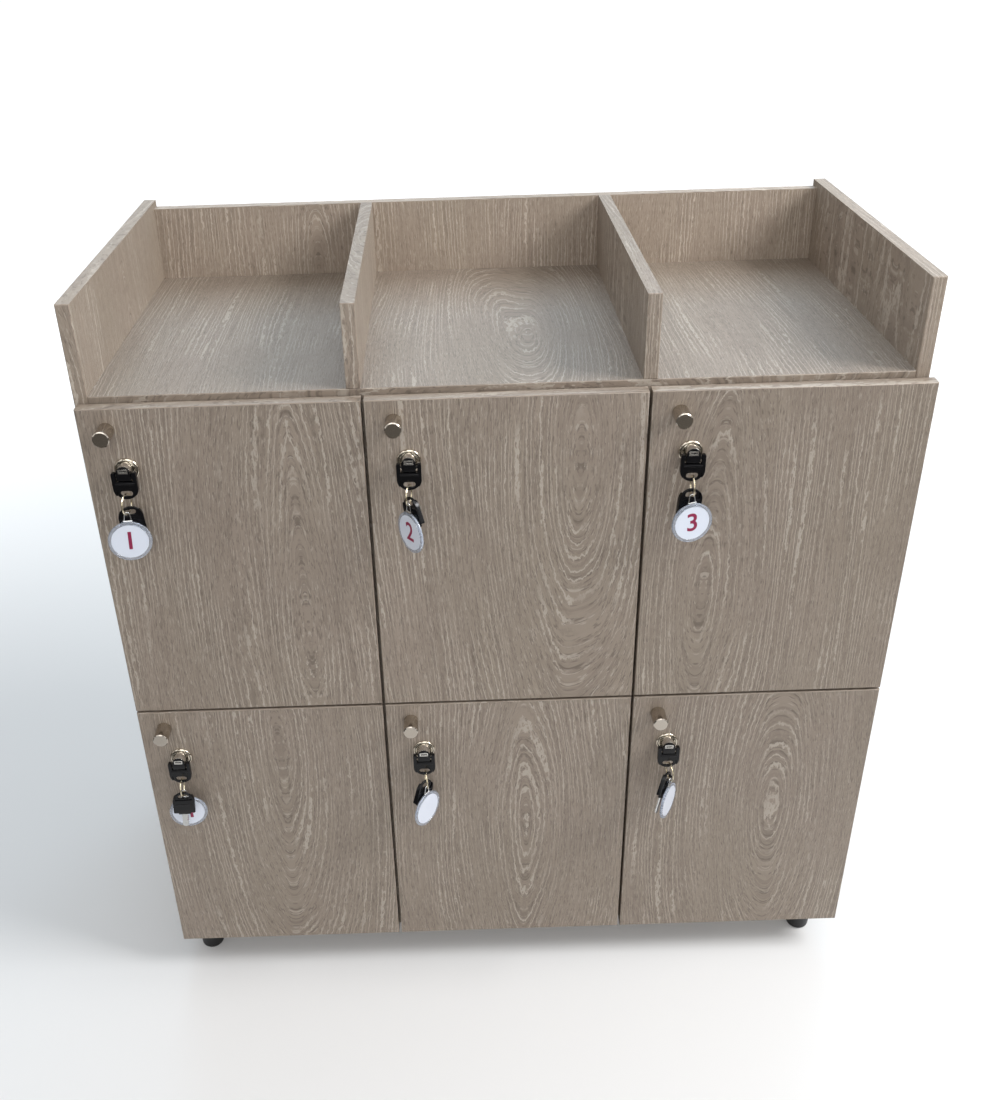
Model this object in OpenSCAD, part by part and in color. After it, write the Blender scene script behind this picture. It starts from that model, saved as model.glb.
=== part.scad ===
// Locker box for phones: a free-standing board cabinet with six locked doors in
// two rows and an open tray on top, divided into three bays.
// Millimetres, +Z up, the doors face -Y, origin under the middle of the whole part.

/* [Cabinet] */
// width of the cabinet over both side panels
cabinet_w = 900; // [700:1:1200]
// depth of the side panels
cabinet_d = 433; // [330:1:600]
// thickness of every cabinet board
board_t = 15; // [12:0.5:19]
// how far the back board stands in from the rear edges of the sides
back_inset = 3; // [0:0.5:12]
// bevel along the front edges of boards and doors
edge_ease = 0.8; // [0.3:0.1:2]

/* [Tray] */
// how far each tray divider stands outside the partition below it
divider_out = 6; // [-4:0.5:12]
// height of the dividers and the back board above the tray floor
tray_h = 92; // [50:1:160]
// how far the side panels stand above the dividers
side_rise = 8; // [0:0.5:30]
// tray floor above the top edges of the upper doors
floor_rise = 7; // [2:0.5:12]

/* [Feet] */
// height of a foot
foot_h = 55; // [25:1:110]
// diameter of a foot at the cabinet
foot_top_d = 38; // [25:1:60]
// diameter of a foot at the ground
foot_end_d = 30; // [20:1:50]
// middle of a foot from the outer face of the side panel
foot_in_x = 30; // [22:1:80]
// middle of a foot from the front or rear edge of the cabinet
foot_in_y = 30; // [22:1:80]

/* [Doors] */
// how much wider the row of doors is than the cabinet
row_over = 1; // [-4:0.5:4]
// height of one door
door_h = 393; // [280:0.5:520]
// thickness of one door
door_t = 15; // [14:0.5:19]
// air between two doors side by side
column_gap = 3.5; // [3:0.5:6]
// air between the upper and the lower doors
row_gap = 3; // [2:0.5:8]
// air between a closed door and the cabinet front
door_air = 2; // [1.5:0.1:4]
// how far the whole row of doors sits to the right of the cabinet middle
door_shift = 4; // [-4:0.5:5]

/* [Knobs] */
// diameter of a knob
knob_d = 18; // [12:0.5:26]
// length of a knob in front of the door
knob_len = 25; // [15:0.5:28]
// middle of a knob from the left edge of its door
knob_in = 30; // [22:0.5:40]
// middle of a knob below the top edge of its door
knob_down = 24; // [18:0.5:32]
// bevel round the end face of a knob
knob_bevel = 1; // [0.3:0.1:2.5]

/* [Cam locks] */
// middle of a lock from the left edge of its door
lock_in = 44; // [40:0.5:70]
// middle of a lock below the top edge of its door
lock_down = 70; // [62:0.5:120]
// diameter of the lock rosette
rosette_d = 27; // [23:0.5:34]
// thickness of the lock rosette
rosette_t = 2.5; // [1.5:0.1:4]
// diameter of the threaded lock barrel
barrel_d = 18; // [16:0.2:20]
// diameter of the turning plug
plug_d = 12.8; // [10:0.1:13.4]
// air round the barrel in the door hole
barrel_air = 0.3; // [0.2:0.05:0.6]
// running clearance round every shaft and pin, on the radius
pin_air = 0.05; // [0.02:0.01:0.1]
// width of the lock nut over its flats
nut_w = 22; // [20:0.5:24]
// thickness of the lock nut
nut_t = 4; // [3:0.5:5]
// reach of the cam from the lock axis to its tip
cam_len = 27; // [24:0.5:28]
// thickness of the cam
cam_t = 2.5; // [1.5:0.1:3]
// thickness of the angle plate that the cam turns behind
strike_t = 2; // [1.5:0.1:2.5]
// width of the angle plate, up and down
strike_w = 24; // [18:1:30]
// length of the leg on the upright
strike_leg = 26; // [20:1:36]
// air between the angle plate and the cam tip, along the depth
strike_air = 1.7; // [1.2:0.1:2.2]
// how much of the cam's reach lies behind the angle plate
cam_lap = 11; // [6:0.5:13]

/* [Keys] */
// width of the folding plastic bow
bow_w = 26.5; // [22:0.5:32]
// length of the bow from its pin to its round end
bow_len = 27.5; // [25:0.5:34]
// length of the two horns of the bow above its pin
horn_len = 4.2; // [3:0.1:5]
// width of the gap between the horns
notch_w = 18; // [16:0.5:19]
// middle of the ring slot from the round end of the bow
slot_up = 7; // [6.5:0.1:8]
// thickness of the bow
bow_t = 5; // [3.5:0.1:6]
// distance of the bow pin in front of the door
bow_out = 15.5; // [14:0.1:20]
// width of the key head that carries the bow
shank_w = 15; // [12:0.5:15.5]
// width of the metal insert in the key head
insert_w = 10.4; // [8:0.1:11]
// radius of the split ring to the middle of its wire
ring_r = 11.5; // [11:0.1:12.5]
// thickness of the split ring wire
ring_wire = 1.6; // [1:0.1:2]
// diameter of the round tag
tag_d = 47; // [36:0.5:50]
// width of the slot in a bow
slot_w = 13; // [11.5:0.1:14]
// height of the slot in a bow
slot_h = 6; // [5.8:0.1:6.4]
// thickness of a bow round its slot
slot_t = 2.2; // [1.8:0.1:2.4]
// thickness of the round tag
tag_t = 3.2; // [2:0.1:4]
// diameter of the paper disc in the tag
tag_disc_d = 38; // [28:0.5:42]
// length of the blade of the spare key below its bow
blade_len = 20; // [14:0.5:26]

/* [Hinges] */
// middle of each hinge cup from the right edge of its door
cup_in = 22.5; // [21.5:0.1:24]
// diameter of the hinge cup
cup_d = 34.4; // [34:0.1:35]
// depth of the hinge cup
cup_deep = 11.1; // [10.5:0.1:11.6]
// thickness of the cup flange, let into the door
flange_t = 1.4; // [1:0.1:1.6]
// middle of the flange screws from the middle of the cup
flange_screw = 22.5; // [22:0.5:26]
// radius of the flange wings round their screws
flange_r = 5.5; // [4.5:0.1:7]
// middle of each hinge from the upper or lower edge of its door
hinge_in_z = 80; // [60:1:110]
// pin in the cup, from the right edge of the door
cup_pin_in = 11; // [10.5:0.1:11.5]
// pin in the cup, behind the front of the door
cup_pin_y = 11; // [10.5:0.1:11.5]
// pin in the arm, from the right edge of the door
arm_pin_in = 36; // [35:0.1:37]
// pin in the arm, behind the front of the door
arm_pin_y = 27.6; // [27:0.1:28.2]
// thickness of the arm's plate on the upright
plate_t = 2; // [1.5:0.1:3]
// length of the plate along the depth
plate_len = 40; // [32:1:52]
// length of the plate's wings, up and down
plate_h = 52; // [46:1:60]
// line of the plate's screws behind the front edge of the upright
plate_line = 50; // [44:0.5:56]
// distance between the two screws of a plate or of a cup
screw_gap = 32; // [30:1:36]
// thickness of the cheeks and web of the arm
cheek_t = 2; // [1.2:0.1:2.4]
// width of the hinge link
link_w = 8; // [6:0.5:9]
// thickness of the hinge link
link_t = 3; // [2:0.1:3.2]

/* [Stop pads] */
// middle of the left pad from the left edge of its door
pad_left = 60; // [30:1:100]
// middle of the right pad from the right edge of its door
pad_right = 100; // [60:1:130]
// diameter of a stop pad
pad_d = 5.2; // [4:0.1:7]

/* [Hidden] */
columns = 3;
door_w = (cabinet_w + row_over - (columns - 1) * column_gap) / columns;
partition_x = cabinet_w / columns / 2;
tray_divider_x = partition_x + divider_out;
carcass_h = 2 * door_h + row_gap;
floor_top = carcass_h + floor_rise;
divider_top = floor_top + tray_h;
side_h = divider_top + side_rise;
inner_w = cabinet_w - 2 * board_t;
back_y = cabinet_d - back_inset - board_t;
shelf_z = door_h + row_gap / 2 - board_t / 2;
doors_w = cabinet_w + row_over;
doors_left = door_shift - doors_w / 2;
door_face = -(door_t + door_air);
cam_y = door_t + 7.2;
small = 0.01;
round_n = 96;
pin_n = 48;

// positions inside one key bunch, measured from the lock axis on the door face
hole_z = slot_up - bow_len;
wire_r = ring_wire / 2;
// turn of the ring, of the tag and spare key, and the side they lie to, door by door
ring_turn = [-10, -12, 0, 4, 10, 14];
hang_turn = [10, -56, 14, 6, 52, 58];
key_turn = [13, -53, 12, 6, 48, 55];
ring_lean = [30, 34, 32, 32, 34, 34];
hang_roll = [3, -4, -4, -3, 2, 3];
key_roll = [-4, -26, 4, 3, 24, 36];
key_first = [0, 0, 0, 1, 0, 0];
side_gap = 3.8;
// wire eyelet of the tag: radius of its bend, radius of its wire, length of its legs
eye_r = 2.9;
eye_wire = 0.6;
eye_h = 7;
eye_foot = 4;
hang_air = 0.5;
notch_z = -6.2;
head_back = rosette_t + 0.5;

// the most forward point of every bunch gives the depth of the whole part
function sag(o) = ring_r - sqrt(ring_r * ring_r - o * o);
function out_dir(i) = [sin(ring_turn[i]), -cos(ring_turn[i])];
function ring_mid(i) = [
  out_dir(i)[0] * ring_r * sin(ring_lean[i]),
  -bow_out + out_dir(i)[1] * ring_r * sin(ring_lean[i]),
  hole_z - ring_r * cos(ring_lean[i])];
function tag_top(i) = sag(side_gap + crossing(i, eye_wire, hang_turn[i]))
  + wire_r + hang_air - (eye_r - eye_wire);
function tag_drop(i) = eye_h + 1.2 + tag_d / 2 - tag_top(i);
function crossing(i, half, turn) = (half + wire_r) / cos(ring_turn[i] - turn);
function first_side(i) = key_first[i] == 1 ? -1 : 1;
function tag_front(i) = -ring_mid(i)[1] - out_dir(i)[1] * first_side(i) * side_gap
  + tag_d / 2 * abs(sin(hang_turn[i])) + tag_t / 2 * cos(hang_turn[i])
  + tag_drop(i) * sin(hang_roll[i]) * sin(hang_turn[i]);
reach = max([for (i = [0 : 5]) max(tag_front(i), knob_len)]);

// the part sits with the middle of its whole box over the origin
box_left = min(-cabinet_w / 2, doors_left);
box_right = max(cabinet_w / 2, doors_left + doors_w);
mid_x = (box_left + box_right) / 2;
mid_y = (cabinet_d + door_face - reach) / 2;

function door_left(i) = doors_left + (i % 3) * (door_w + column_gap);
function door_base(i) = i < 3 ? door_h + row_gap : 0;
function wall_right(i) = i % 3 == 2 ? cabinet_w / 2 - board_t
  : (i % 3 == 0 ? -1 : 1) * partition_x - board_t / 2;
function wall_left(i) = i % 3 == 0 ? -cabinet_w / 2 + board_t
  : (i % 3 == 1 ? -1 : 1) * partition_x + board_t / 2;

// from cabinet sizes to the frame of the whole part
module placed() {
  translate([-mid_x, -mid_y, foot_h]) children();
}

// frame of door i: left, bottom, front corner
module at_door(i) {
  placed() translate([door_left(i), door_face, door_base(i)]) children();
}

// frame of lock i: on its axis at the door face
module at_lock(i) {
  at_door(i) translate([lock_in, 0, door_h - lock_down]) children();
}

// cylinder along the depth, from y0 to y1
module rod_y(r, y0, y1, n = round_n) {
  translate([0, y0, 0]) rotate([-90, 0, 0]) cylinder(r = r, h = y1 - y0, $fn = n);
}

// turned shape about a depth axis; points are [radius, y]
module turned_y(points, n = round_n) {
  rotate([-90, 0, 0]) rotate_extrude($fn = n)
    polygon(points);
}

// board with its long front edges bevelled (front is -Y)
module eased_board(w, d, h) {
  difference() {
    cube([w, d, h]);
    for (x = [0, w]) translate([x, 0, h / 2])
      rotate([0, 0, 45])
        cube([edge_ease * sqrt(2), edge_ease * sqrt(2), h + 2], center = true);
    for (z = [0, h]) translate([w / 2, 0, z])
      rotate([45, 0, 0])
        cube([w + 2, edge_ease * sqrt(2), edge_ease * sqrt(2)], center = true);
  }
}

// upright board from its middle x, seen from the front
module upright(x, z0, z1, depth) {
  translate([x - board_t / 2, 0, z0]) eased_board(board_t, depth, z1 - z0);
}

// two full-height side panels
module side_panels() color("Tan") placed() {
  for (s = [-1, 1])
    upright(s * (cabinet_w - board_t) / 2, 0, side_h, cabinet_d);
}

// two upright partitions between the three columns
module partitions() color("Tan") placed() {
  for (s = [-1, 1])
    upright(s * partition_x, board_t, floor_top - board_t, back_y);
}

// board that closes the lockers and is the tray floor
module top_panel() color("Tan") placed()
  translate([-inner_w / 2, 0, floor_top - board_t]) eased_board(inner_w, back_y, board_t);

// bottom board of the cabinet
module bottom_panel() color("Tan") placed()
  translate([-inner_w / 2, 0, 0]) eased_board(inner_w, back_y, board_t);

// one shelf in each column between the upper and the lower locker
module shelves() color("Tan") placed() {
  for (i = [0 : 2])
    translate([wall_left(i), 0, shelf_z])
      eased_board(wall_right(i) - wall_left(i), back_y, board_t);
}

// back board, from the cabinet bottom to the tray rim
module back_panel() color("Tan") placed()
  translate([-inner_w / 2, back_y, 0]) cube([inner_w, board_t, divider_top]);

// two dividers standing on the tray floor
module tray_dividers() color("Tan") placed() {
  for (s = [-1, 1])
    upright(s * tray_divider_x, floor_top, divider_top, back_y);
}

// four round feet, tapered and rounded at the ground
module feet() color("DimGray") placed() {
  edge = 4;
  for (x = [-1, 1], y = [foot_in_y, cabinet_d - foot_in_y])
    translate([x * (cabinet_w / 2 - foot_in_x), y, -foot_h])
      rotate_extrude($fn = round_n)
        polygon(concat([[0, 0]],
          [for (a = [-90 : 15 : 0])
            [foot_end_d / 2 - edge + edge * cos(a), edge + edge * sin(a)]],
          [[foot_top_d / 2 - 1.5, foot_h - 8], [foot_top_d / 2, foot_h - 6],
           [foot_top_d / 2, foot_h], [0, foot_h]]));
}

// fixed hinge arms: a plate on the upright, two cheeks and the pin of the link
module hinge_arms() color("Silver")
  for (i = [0 : 5], z = [hinge_in_z, door_h - hinge_in_z])
    at_door(i) translate([door_w, 0, z])
      hinge_arm(wall_right(i) - door_left(i) - door_w);

// one arm; face is the x of the upright's face from the door's right edge
module hinge_arm(face) {
  inner = link_w / 2 + 0.3;
  half = inner + cheek_t;
  px = -arm_pin_in;
  py = arm_pin_y;
  screw_y = door_t + door_air + plate_line;
  plate_x = face - plate_t;
  rear_y = screw_y + plate_len / 2;
  lean = atan2(8, 32);
  for (s = [0, 1]) mirror([0, 0, s]) translate([0, 0, inner])
    linear_extrude(cheek_t) {
      translate([px, py]) circle(r = 4, $fn = pin_n);
      polygon([[px - 4, py], [px - 4, py + 22], [px + 4, py + 54], [plate_x + 0.1, py + 54],
        [plate_x + 0.1, py + 26], [px + 4, py]]);
    }
  translate([0, 0, -half]) linear_extrude(2 * half)
    polygon([[px - 4, py + 10], [px - 4, py + 22], [px + 4, py + 54],
      [px + 4 + cheek_t, py + 54], [px - 4 + cheek_t, py + 22], [px - 4 + cheek_t, py + 10]]);
  translate([px, py, -half]) cylinder(r = 2, h = 2 * half, $fn = pin_n);
  for (along = [6, 22])
    translate([px - 4 + along * sin(lean) + 0.2, py + 22 + along * cos(lean), 0])
      rotate([0, 0, -lean]) difference() {
        rotate([0, -90, 0]) cylinder(d1 = 7, d2 = 6.2, h = 1.6, $fn = pin_n);
        translate([-2.6, -0.5, -4]) cube([2, 1, 8]);
      }
  difference() {
    union() {
      translate([plate_x, screw_y - plate_len / 2, -half - 1])
        cube([plate_t, plate_len, 2 * half + 2]);
      translate([plate_x, screw_y, 0]) rotate([0, 90, 0]) linear_extrude(plate_t)
        wing_outline();
    }
    for (z = [-1, 1] * screw_gap / 2)
      translate([plate_x - 1, screw_y, z]) rotate([0, 90, 0])
        cylinder(d = 4.4, h = plate_t + 2, $fn = pin_n);
  }
  for (z = [-1, 1] * screw_gap / 2)
    translate([plate_x, screw_y, z]) rotate([0, -90, 0])
      translate([0, 0, -small]) cylinder(d1 = 8, d2 = 6.4, h = 1.6, $fn = pin_n);
}

// wings of the plate: an oblong with round ends, long side up and down
module wing_outline() {
  r = 6.5;
  square([plate_h - 2 * r, 2 * r], center = true);
  for (s = [-1, 1]) translate([s * (plate_h / 2 - r), 0]) circle(r = r, $fn = pin_n);
}

// angle plates on the uprights that the lock cams turn behind
module lock_strikes() color("Silver")
  for (i = [0 : 5]) at_lock(i) {
    face = wall_left(i) - door_left(i) - lock_in;
    leg_end = -(cam_len - cam_lap);
    y0 = cam_y - strike_air - strike_t;
    translate([face, y0, -strike_w / 2]) cube([leg_end - face, strike_t, strike_w]);
    translate([face, y0, -strike_w / 2]) cube([strike_t, strike_leg, strike_w]);
  }

// soft stop pads on the front edges of the boards above and below each door
module door_bumpers() color("WhiteSmoke")
  for (i = [0 : 5], x = [pad_left, door_w - pad_right]) at_door(i) {
    low = i < 3 ? (board_t - row_gap) / 4 : board_t / 2;
    high = i < 3 ? (board_t - floor_rise) / 2 : (board_t - row_gap) / 4;
    for (z = [low, door_h - high]) translate([x, 0, z])
      rod_y(pad_d / 2, door_t + 0.2, door_t + door_air, pin_n);
  }

// screws through the back board into the shelves and the bottom board, and two in the
// leg of every angle plate
module case_screws() color("Silver") {
  for (i = [0 : 5]) at_lock(i)
    translate([wall_left(i) - door_left(i) - lock_in + strike_t,
        cam_y - strike_air - strike_t + strike_leg * 0.58, 0])
      for (z = [-1, 1] * strike_w * 0.27) translate([0, 0, z]) rotate([0, 90, 0])
        cylinder(d1 = 6.6, d2 = 5, h = 1.4, $fn = pin_n);
  placed() for (x = [-0.42, -0.25, -0.08, 0.08, 0.25, 0.42], z = [board_t / 2,
      shelf_z + board_t / 2, floor_top - board_t / 2])
    translate([x * inner_w, back_y + board_t, z])
      turned_y([[0, 0], [3.6, 0], [3.2, 1], [1.8, 1.5], [0, 1.5]], pin_n);
}

// board door with its lock hole, knob hole and two hinge cup bores
module door_panel(i) color("BurlyWood") at_door(i) difference() {
  eased_board(door_w, door_t, door_h);
  translate([lock_in, 0, door_h - lock_down])
    rod_y(barrel_d / 2 + barrel_air, -1, door_t + 1);
  translate([knob_in, 0, door_h - knob_down])
    rod_y(2.3, -1, door_t + 1, pin_n);
  for (z = [hinge_in_z, door_h - hinge_in_z]) translate([door_w - cup_in, 0, z]) {
    rod_y(cup_d / 2 + 0.3, door_t - cup_deep - 0.3, door_t + 1);
    translate([0, door_t + 1, 0]) rotate([90, 0, 0]) linear_extrude(flange_t + 1.1)
      flange_outline(0.3);
  }
}

// turned knob and the screw that holds it from behind
module door_knob(i) color("Silver") at_door(i)
  translate([knob_in, 0, door_h - knob_down])
    turned_y([[0, -knob_len], [knob_d / 2 - knob_bevel, -knob_len],
      [knob_d / 2, -knob_len + knob_bevel], [knob_d / 2, -0.8],
      [knob_d / 2 - 0.6, 0], [2, 0], [2, door_t], [4, door_t],
      [3.6, door_t + 1.2], [0, door_t + 1.2]]);

// lock body: rosette, threaded barrel through the door and its nut
module cam_lock(i) color("Silver") at_lock(i) {
  bore = plug_d / 2 + pin_air;
  turned_y([[bore, -1.2], [8.4, -1.2], [9.2, -rosette_t], [rosette_d / 2 - 1.2, -rosette_t],
    [rosette_d / 2, -1], [rosette_d / 2, 0], [barrel_d / 2, 0],
    [barrel_d / 2, door_t + 6.6], [bore, door_t + 6.6]]);
  difference() {
    translate([0, door_t, 0]) rotate([-90, 0, 0])
      cylinder(d = nut_w / cos(30), h = nut_t, $fn = 6);
    rod_y(barrel_d / 2 - 0.2, door_t - 1, door_t + nut_t + 1);
  }
}

// turning plug with the cam on its tail and the key shank in its face
module lock_plug(i) color("Gainsboro") at_lock(i) {
  rod_y(plug_d / 2, -head_back - small, cam_y + small);
  translate([0, cam_y, 0]) rotate([-90, 0, 0]) linear_extrude(cam_t) {
    circle(r = 8, $fn = round_n);
    polygon([[-8, 0], [8, 0], [5.5, cam_len - 5.5], [-5.5, cam_len - 5.5]]);
    translate([0, cam_len - 5.5]) circle(r = 5.5, $fn = round_n);
  }
  rod_y(4.6, cam_y + cam_t - small, cam_y + cam_t + 2.4, 6);
  key_shank();
}

// key head: a block in front of the rosette, arched on top, with a barrel
// for the pin and a metal insert with a slot in its face
module key_shank() {
  face_y = -bow_out - 2.6;
  difference() {
    union() {
      translate([-shank_w / 2, -bow_out, -5.5])
        cube([shank_w, bow_out - head_back, 9]);
      translate([0, -head_back, 0]) rotate([90, 0, 0])
        linear_extrude(bow_out - head_back + 2.6) {
          translate([0, 3.5]) circle(d = shank_w, $fn = round_n);
          translate([-shank_w / 2, 0]) square([shank_w, 3.5]);
        }
      translate([-shank_w / 2, -bow_out, 0]) rotate([0, 90, 0])
        cylinder(r = 5.5, h = shank_w, $fn = round_n);
    }
    translate([-shank_w / 2 - 1, -bow_out, 0]) rotate([0, 90, 0])
      cylinder(r = 1.25 + pin_air, h = shank_w + 2, $fn = pin_n);
    translate([-shank_w / 2 - 1, face_y - 6, -7]) cube([shank_w + 2, 6, 20]);
    translate([-insert_w / 2, face_y - 1, 2.2]) cube([insert_w, 1.8, 5]);
  }
  translate([-insert_w / 2, face_y + 0.3, 2.2]) difference() {
    cube([insert_w, 1, 5]);
    translate([1.6, -1, 2]) cube([insert_w - 3.2, 1.6, 1]);
  }
}

// outline of a bow hanging down from its pin
module bow_outline() {
  round_z = bow_w / 2 - bow_len;
  corner = 1.6;
  translate([0, round_z]) circle(d = bow_w, $fn = round_n);
  translate([-bow_w / 2, round_z]) square([bow_w, horn_len - corner - round_z]);
  translate([-bow_w / 2 + corner, horn_len - corner - 1]) square([bow_w - 2 * corner, corner + 1]);
  for (s = [-1, 1]) translate([s * (bow_w / 2 - corner), horn_len - corner])
    circle(r = corner, $fn = pin_n);
}

// slot for the split ring
module ring_slot() {
  translate([0, hole_z]) {
    square([slot_w - slot_h, slot_h], center = true);
    for (s = [-1, 1]) translate([s * (slot_w - slot_h) / 2, 0])
      circle(d = slot_h, $fn = pin_n);
  }
}

// body of a bow: outline, thinner round its slot, with a raised bar in front
module bow_body(cut) {
  rotate([90, 0, 0]) difference() {
    translate([0, 0, -bow_t / 2]) linear_extrude(bow_t) difference() {
      bow_outline();
      ring_slot();
    }
    for (s = [0, 1]) mirror([0, 0, s]) translate([0, 0, slot_t / 2])
      linear_extrude(bow_t) translate([-bow_w / 2 + 3, -bow_len - 1])
        square([bow_w - 6, slot_up + 6]);
    if (cut) translate([-notch_w / 2, notch_z, -bow_t])
      cube([notch_w, 20, 2 * bow_t]);
  }
  translate([-bow_w / 2 + 3, -bow_t / 2 - 0.7, notch_z - 3.6])
    cube([bow_w - 6, 0.7 + small, 2.2]);
}

// folding bow of the key in the lock, folded down, with its pin
module key_bow(i) color("DimGray") at_lock(i) translate([0, -bow_out, 0]) {
  bow_body(true);
  translate([-bow_w / 2 + 2, 0, 0]) rotate([0, 90, 0])
    cylinder(r = 1.25, h = bow_w - 4, $fn = pin_n);
}

// split ring with a spare key and a round tag hanging on it
module key_bunch(i) color("Gold") at_lock(i) {
  mid = ring_mid(i);
  foot_p = mid - [0, 0, ring_r];
  translate(mid) rotate([0, 0, ring_turn[i]]) rotate([0, 90, 0])
    rotate_extrude($fn = 64) translate([ring_r, 0]) circle(r = wire_r, $fn = 24);
  side = first_side(i);
  n = [out_dir(i)[0], out_dir(i)[1], 0];
  translate(foot_p + n * side * side_gap) rotate([0, hang_roll[i], hang_turn[i]])
    round_tag(tag_top(i));
  translate(foot_p - n * side * side_gap) rotate([0, key_roll[i], key_turn[i]])
    spare_key(sag(side_gap + crossing(i, slot_t / 2, key_turn[i])) + wire_r + hang_air, side);
}

// round tag hanging from the origin by a wire eyelet with splayed legs
module round_tag(top) {
  splay = atan2(eye_foot - eye_r, eye_h);
  translate([0, 0, top]) {
    rotate([90, 0, 0]) difference() {
      rotate_extrude($fn = 48) translate([eye_r, 0]) circle(r = eye_wire, $fn = 20);
      translate([-5, -10, -2]) cube([10, 10, 4]);
    }
    for (s = [-1, 1]) translate([s * eye_r, 0, 0]) {
      sphere(r = eye_wire, $fn = 20);
      rotate([0, 180 - s * splay, 0])
        cylinder(r = eye_wire, h = eye_h / cos(splay), $fn = 20);
    }
    translate([0, 0, -eye_h - 0.6]) rotate([0, 90, 0])
      cylinder(r = 1.2, h = 2 * eye_foot + 1.4, center = true, $fn = 24);
    translate([0, 0, -eye_h - 1.2 - tag_d / 2]) difference() {
      rod_y(tag_d / 2, -tag_t / 2, tag_t / 2);
      for (s = [-1, 1]) rod_y(tag_disc_d / 2, s * tag_t / 2 - 0.4, s * tag_t / 2 + 0.4);
    }
  }
}

// spare key hanging by its bow, blade down; top is the upper edge of its slot, and the
// bar of the bow looks away from the tag
module spare_key(top, side) {
  end_z = hole_z - horn_len;
  translate([0, 0, top - slot_h / 2]) {
    translate([0, 0, hole_z]) rotate([side > 0 ? 180 : 0, side > 0 ? 0 : 180, 0])
      bow_body(false);
    translate([-shank_w / 2, -1.6, end_z - 3]) cube([shank_w, 3.2, 5]);
    translate([-4, -1.1, end_z - 3 - blade_len]) difference() {
      cube([8, 2.2, blade_len + 1]);
      for (k = [0 : 3])
        translate([8, -1, 3 + k * 3.6]) rotate([0, 45, 0])
          cube([1.6 + 0.4 * (k % 3), 5, 1.6 + 0.4 * (k % 2)]);
    }
  }
}

// two pressed cups with their flange, its two screws and the pin of the link
module hinge_cups(i) color("Silver")
  for (z = [hinge_in_z, door_h - hinge_in_z]) at_door(i)
    translate([door_w - cup_in, 0, z]) {
      wall = 1;
      r = cup_d / 2;
      floor_y = door_t - cup_deep;
      difference() {
        union() {
          rod_y(r, floor_y, door_t);
          translate([0, door_t, 0]) rotate([90, 0, 0]) linear_extrude(flange_t)
            flange_outline(0);
        }
        rod_y(r - wall, floor_y + wall, door_t + 1);
      }
      for (s = [-1, 1]) translate([0, 0, s * flange_screw])
        turned_y([[0, door_t - 0.1], [3.1, door_t - 0.1], [2.4, door_t + 0.6],
          [0, door_t + 0.6]], pin_n);
      translate([cup_in - cup_pin_in, cup_pin_y, -11]) intersection() {
        cylinder(r = 1.5, h = 22, $fn = pin_n);
        translate([-(cup_in - cup_pin_in), 0, 11]) rod_y(r - 0.5, -10, 10);
      }
    }

// outline of the cup flange: a waist over the cup and a round wing above and below
module flange_outline(air) {
  square([cup_d + 1.6 + 2 * air, 2 * flange_screw - 14 + 2 * air], center = true);
  for (s = [-1, 1]) translate([0, s * flange_screw]) {
    circle(r = flange_r + air, $fn = pin_n);
    translate([0, -s * flange_screw / 2])
      square([2 * (flange_r + air), flange_screw], center = true);
  }
}

// the two curved hinge links of one door
module hinge_links(i) color("Silver")
  for (z = [hinge_in_z, door_h - hinge_in_z]) at_door(i)
    translate([door_w, 0, z - link_w / 2]) {
      a = [-arm_pin_in, arm_pin_y];
      b = [-cup_pin_in, cup_pin_y];
      e = [-cup_pin_in - 6.8, cup_pin_y - 2.8];
      difference() {
        linear_extrude(link_w) {
          translate(a) circle(r = 3.6, $fn = pin_n);
          translate(b) circle(r = 2.6, $fn = pin_n);
          bar2(a, e);
          bar2(e, b);
          translate(e) circle(r = link_t / 2, $fn = pin_n);
        }
        translate([a[0], a[1], -1]) cylinder(r = 2 + pin_air, h = link_w + 2, $fn = pin_n);
        translate([b[0], b[1], -1]) cylinder(r = 1.5 + pin_air, h = link_w + 2, $fn = pin_n);
      }
    }

// flat bar between two points of a plan
module bar2(p, q) {
  d = q - p;
  translate(p) rotate(atan2(d[1], d[0])) translate([0, -link_t / 2])
    square([norm(d), link_t]);
}

// the eight pieces of each door, numbered from upper left to lower right
module door_panel_1() door_panel(0);
module door_knob_1() door_knob(0);
module cam_lock_1() cam_lock(0);
module lock_plug_1() lock_plug(0);
module key_bow_1() key_bow(0);
module key_bunch_1() key_bunch(0);
module hinge_cups_1() hinge_cups(0);
module hinge_links_1() hinge_links(0);
module door_panel_2() door_panel(1);
module door_knob_2() door_knob(1);
module cam_lock_2() cam_lock(1);
module lock_plug_2() lock_plug(1);
module key_bow_2() key_bow(1);
module key_bunch_2() key_bunch(1);
module hinge_cups_2() hinge_cups(1);
module hinge_links_2() hinge_links(1);
module door_panel_3() door_panel(2);
module door_knob_3() door_knob(2);
module cam_lock_3() cam_lock(2);
module lock_plug_3() lock_plug(2);
module key_bow_3() key_bow(2);
module key_bunch_3() key_bunch(2);
module hinge_cups_3() hinge_cups(2);
module hinge_links_3() hinge_links(2);
module door_panel_4() door_panel(3);
module door_knob_4() door_knob(3);
module cam_lock_4() cam_lock(3);
module lock_plug_4() lock_plug(3);
module key_bow_4() key_bow(3);
module key_bunch_4() key_bunch(3);
module hinge_cups_4() hinge_cups(3);
module hinge_links_4() hinge_links(3);
module door_panel_5() door_panel(4);
module door_knob_5() door_knob(4);
module cam_lock_5() cam_lock(4);
module lock_plug_5() lock_plug(4);
module key_bow_5() key_bow(4);
module key_bunch_5() key_bunch(4);
module hinge_cups_5() hinge_cups(4);
module hinge_links_5() hinge_links(4);
module door_panel_6() door_panel(5);
module door_knob_6() door_knob(5);
module cam_lock_6() cam_lock(5);
module lock_plug_6() lock_plug(5);
module key_bow_6() key_bow(5);
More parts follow.
